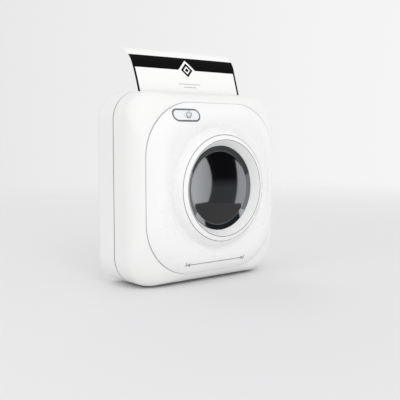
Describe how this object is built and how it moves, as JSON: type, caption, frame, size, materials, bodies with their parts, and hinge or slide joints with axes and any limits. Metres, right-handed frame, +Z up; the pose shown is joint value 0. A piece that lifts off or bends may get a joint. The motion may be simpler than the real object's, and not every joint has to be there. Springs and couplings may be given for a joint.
{
  "type": "portable thermal printer",
  "caption": "Pocket thermal printer with a round dark window, a hinged rear cover, a paper roll inside and a printed slip leaving the slot on top.",
  "frame": {"origin": "centre of the footprint, on the surface that the feet stand on", "axes": "+X to the printer's right seen from the front, +Y to the rear, +Z up; the round window faces -Y"},
  "size_m": [0.0804, 0.0401, 0.1001],
  "materials": {
    "white_shell": "satin moulded white plastic",
    "white_panel": "glossy moulded white plastic",
    "grey_trim": "satin grey plastic",
    "dark_lens": "polished smoked plastic",
    "grey_rubber": "matt rubber",
    "inner_plastic": "dark grey moulded plastic",
    "gear_plastic": "natural acetal",
    "platen_rubber": "ground rubber",
    "steel": "bright steel",
    "screw_steel": "zinc-plated steel",
    "aluminium": "extruded aluminium",
    "ceramic": "glazed white ceramic",
    "paper": "smooth white thermal paper",
    "card": "grey-brown card tube",
    "battery_wrap": "plastic-wrapped cell",
    "board_green": "solder-masked circuit board",
    "chip_black": "black moulded parts",
    "film_amber": "polyimide film",
    "lead_red": "insulated wire"
  },
  "bodies": {
    "housing": {"battery": "battery_wrap", "battery_leads": "lead_red", "board_chips": "chip_black", "board_screws": "screw_steel", "button_board": "board_green", "button_board_screws": "screw_steel", "button_surround": "grey_trim", "chassis": "inner_plastic", "chassis_screws": "screw_steel", "cover_hinge_pin": "steel", "front_foot": "grey_rubber", "front_housing": "white_shell", "front_panel": "white_panel", "gear_cover": "inner_plastic", "gear_cover_screws": "screw_steel", "head_flex_cable": "film_amber", "head_pivot_shaft": "steel", "head_springs": "steel", "idler_axle": "steel", "main_board": "board_green", "motor_screws": "screw_steel", "paper_web": "paper", "power_switch": "chip_black", "release_spring": "steel", "stepper_motor": "steel", "tear_bar": "steel", "usb_socket": "steel", "window_bezel": "white_panel", "window_lens": "dark_lens"},
    "cover": {"rear_cover": "white_shell", "cover_liner": "inner_plastic", "liner_screws": "screw_steel", "rear_foot": "grey_rubber", "platen_bushes": "gear_plastic"},
    "platen": {"platen_rubber": "platen_rubber", "platen_shaft": "steel", "platen_gear": "gear_plastic"},
    "idler": {"idler_gear": "gear_plastic"},
    "pinion": {"motor_pinion": "gear_plastic", "motor_shaft": "steel"},
    "roll": {"paper_roll": "paper", "roll_core": "card"},
    "print_head": {"head_plate": "aluminium", "head_ceramic": "ceramic"},
    "power_key": {"power_button": "white_panel", "switch_plunger": "gear_plastic"},
    "release_key": {"release_button": "white_panel"},
    "slip": {"paper_slip": "paper"}
  },
  "joints": [
    {"name": "cover_hinge", "type": "hinge", "parent": "housing", "child": "cover", "pos_m": [0, 0.00385, 0.0025], "axis": [-1, 0, 0], "range_deg": [0, 95]},
    {"name": "roll_spin", "type": "hinge", "parent": "housing", "child": "roll", "pos_m": [0, 0.0018, 0.0385], "axis": [1, 0, 0], "continuous": true},
    {"name": "platen_spin", "type": "hinge", "parent": "cover", "child": "platen", "pos_m": [0, 0.0064, 0.0695], "axis": [1, 0, 0], "continuous": true},
    {"name": "idler_spin", "type": "hinge", "parent": "housing", "child": "idler", "pos_m": [0, -0.003, 0.06608], "axis": [1, 0, 0], "continuous": true},
    {"name": "pinion_spin", "type": "hinge", "parent": "housing", "child": "pinion", "pos_m": [0, -0.0066, 0.05894], "axis": [1, 0, 0], "continuous": true},
    {"name": "head_pivot", "type": "hinge", "parent": "housing", "child": "print_head", "pos_m": [0, -0.00015, 0.0615], "axis": [1, 0, 0], "range_deg": [0, 3], "stiffness_Nm_per_rad": 0.06, "springref_deg": -11.46, "deforming": ["head_springs", "head_flex_cable"]},
    {"name": "power_press", "type": "slide", "parent": "housing", "child": "power_key", "axis": [0, 1, 0], "range_m": [0, 0.0003], "stiffness_N_per_m": 800, "springref_m": -0.001},
    {"name": "release_press", "type": "slide", "parent": "housing", "child": "release_key", "axis": [-1, 0, 0], "range_m": [0, 0.001], "stiffness_N_per_m": 400, "springref_m": -0.001, "deforming": ["release_spring"]},
    {"name": "paper_feed", "type": "slide", "parent": "housing", "child": "slip", "axis": [0, 0, 1], "range_m": [0, 0.012]}
  ],
  "couplings": [
    {"joint": "platen_spin", "follows": "roll_spin", "ratio": 3.75},
    {"joint": "idler_spin", "follows": "roll_spin", "ratio": -6.9643},
    {"joint": "pinion_spin", "follows": "roll_spin", "ratio": 11.607}
  ]
}
